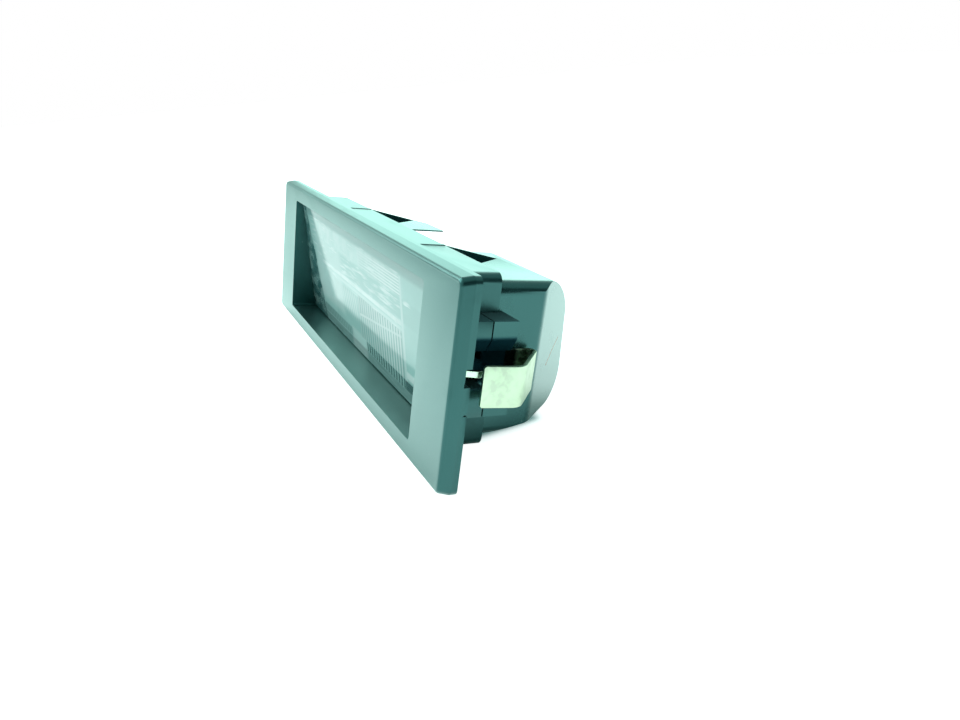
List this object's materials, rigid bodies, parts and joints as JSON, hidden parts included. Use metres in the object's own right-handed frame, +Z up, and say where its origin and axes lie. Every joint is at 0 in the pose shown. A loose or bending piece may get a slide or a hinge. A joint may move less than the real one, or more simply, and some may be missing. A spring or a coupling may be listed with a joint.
{
  "type": "number plate lamp",
  "caption": "Snap-in rectangular number plate lamp: black frame and housing, inclined fluted clear lens, festoon bulb, steel spring clip and rear plug socket.",
  "frame": {"origin": "centre of the flange's rear face, which seats on the body panel", "axes": "+X along the lamp towards the spring clip, +Y into the panel towards the plug socket, +Z up across the lens"},
  "size_m": [0.084, 0.03, 0.0262],
  "materials": {
    "frame_plastic": "satin black moulded plastic",
    "housing_plastic": "satin black moulded plastic",
    "lens_plastic": "clear moulded plastic with flutes on the rear face",
    "seal_rubber": "matt black rubber",
    "reflector_metal": "bright metal film on plastic",
    "clip_steel": "bright spring steel with a fine rolled grain",
    "bulb_clear_glass": "clear blown glass",
    "cap_metal": "plated brass cap",
    "wire_metal": "grey drawn wire",
    "contact_brass": "tinned spring brass",
    "carrier_plastic": "cream insulating plastic"
  },
  "bodies": {
    "root": {"front_frame": "frame_plastic", "lens": "lens_plastic", "lens_seal": "seal_rubber", "rear_housing": "housing_plastic", "housing_seal": "seal_rubber", "reflector": "reflector_metal", "spring_clip": "clip_steel", "bulb_glass": "bulb_clear_glass", "bulb_filament": "wire_metal", "contact_carrier": "carrier_plastic", "contact_near": "contact_brass", "contact_far": "contact_brass", "bulb_cap_near": "cap_metal", "bulb_cap_far": "cap_metal", "bulb_lead_near": "wire_metal", "bulb_lead_far": "wire_metal", "contact_rivet_1": "contact_brass", "contact_rivet_2": "contact_brass", "contact_rivet_3": "contact_brass"}
  },
  "joints": []
}
